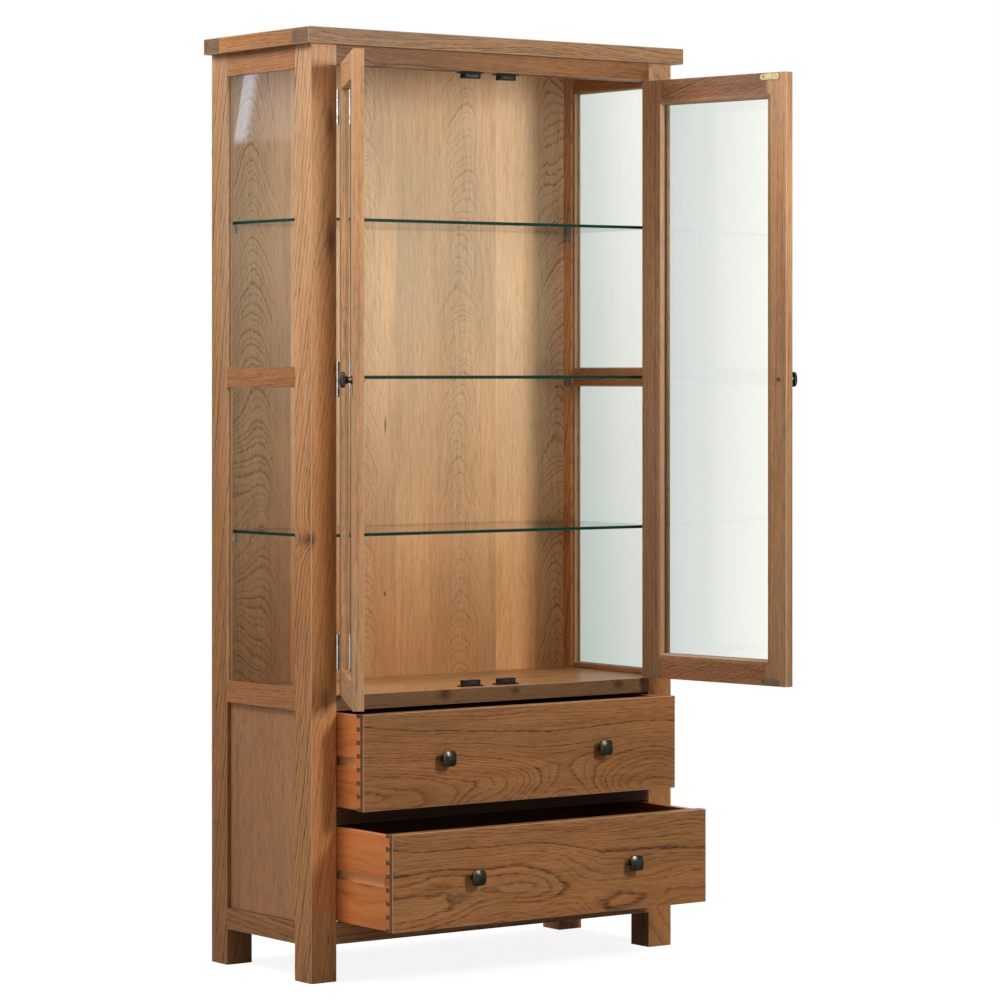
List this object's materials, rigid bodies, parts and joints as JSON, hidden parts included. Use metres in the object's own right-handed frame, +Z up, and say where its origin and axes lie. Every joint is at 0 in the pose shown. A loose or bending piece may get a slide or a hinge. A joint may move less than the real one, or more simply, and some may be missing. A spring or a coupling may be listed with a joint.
{
  "type": "display cabinet",
  "caption": "Tall glazed oak display cabinet with hinged glass doors, glass sides, glass shelves and drawers below on wooden runners, on square legs.",
  "frame": {"origin": "on the floor, under the middle of the carcass", "axes": "+X to the right seen from the front, +Y from the front to the back, +Z up"},
  "size_m": [1.0302, 0.7305, 1.8],
  "materials": {
    "oak": "waxed brown oak",
    "oak_veneer": "waxed oak veneer",
    "pine": "lacquered orange pine",
    "plywood": "thin plywood",
    "clear_glass": "clear toughened glass",
    "dark_pewter": "dark aged pewter",
    "nickel_steel": "bright nickel plate",
    "plated_steel": "plated steel",
    "screw_steel": "plated steel",
    "black_plastic": "black moulded plastic",
    "magnet": "ferrite",
    "clear_plastic": "clear moulded plastic"
  },
  "bodies": {
    "carcass": {"back_rails": "oak", "carcass_screws": "screw_steel", "catch_cases": "black_plastic", "catch_magnets": "magnet", "deck": "oak", "drawer_divider_rail": "oak", "drawer_runners": "pine", "frame_hinge_leaves": "nickel_steel", "front_bottom_rail": "oak", "front_top_rail": "oak", "glass_shelves": "clear_glass", "hinge_pins": "nickel_steel", "leg_back_left": "oak", "leg_back_right": "oak", "leg_front_left": "oak", "leg_front_right": "oak", "lower_back_panel": "oak_veneer", "shelf_supports": "clear_plastic", "side_bottom_rails": "oak", "side_glass": "clear_glass", "side_glazing_beads": "oak", "side_lower_rails": "oak", "side_middle_rails": "oak", "side_panels": "oak_veneer", "side_top_rails": "oak", "top_back_lipping": "oak", "top_centre_panel": "oak", "top_front_lipping": "oak", "top_side_lippings": "oak", "upper_back_panel": "oak_veneer"},
    "left_door": {"left_door_beads": "oak", "left_door_glass": "clear_glass", "left_door_hinge_leaves": "nickel_steel", "left_door_hinge_stile": "oak", "left_door_knob": "dark_pewter", "left_door_meeting_stile": "oak", "left_door_rails": "oak", "left_door_screws": "screw_steel", "left_door_strike_plates": "plated_steel"},
    "right_door": {"right_door_beads": "oak", "right_door_glass": "clear_glass", "right_door_hinge_leaves": "nickel_steel", "right_door_hinge_stile": "oak", "right_door_knob": "dark_pewter", "right_door_meeting_stile": "oak", "right_door_rails": "oak", "right_door_screws": "screw_steel", "right_door_strike_plates": "plated_steel"},
    "upper_drawer": {"upper_drawer_back": "pine", "upper_drawer_bottom": "plywood", "upper_drawer_front": "oak", "upper_drawer_knob_screws": "screw_steel", "upper_drawer_knobs": "dark_pewter", "upper_drawer_sides": "pine"},
    "lower_drawer": {"lower_drawer_back": "pine", "lower_drawer_bottom": "plywood", "lower_drawer_front": "oak", "lower_drawer_knob_screws": "screw_steel", "lower_drawer_knobs": "dark_pewter", "lower_drawer_sides": "pine"}
  },
  "joints": [
    {"name": "left_door_hinge", "type": "hinge", "parent": "carcass", "child": "left_door", "pos_m": [-0.375, -0.1813, 1.137], "axis": [0, 0, -1], "range_deg": [-120, 50]},
    {"name": "right_door_hinge", "type": "hinge", "parent": "carcass", "child": "right_door", "pos_m": [0.375, -0.1813, 1.137], "axis": [0, 0, 1], "range_deg": [-100, 70]},
    {"name": "upper_drawer_slide", "type": "slide", "parent": "carcass", "child": "upper_drawer", "axis": [0, -1, 0], "range_m": [-0.087, 0.173]},
    {"name": "lower_drawer_slide", "type": "slide", "parent": "carcass", "child": "lower_drawer", "axis": [0, -1, 0], "range_m": [-0.184, 0.076]}
  ]
}
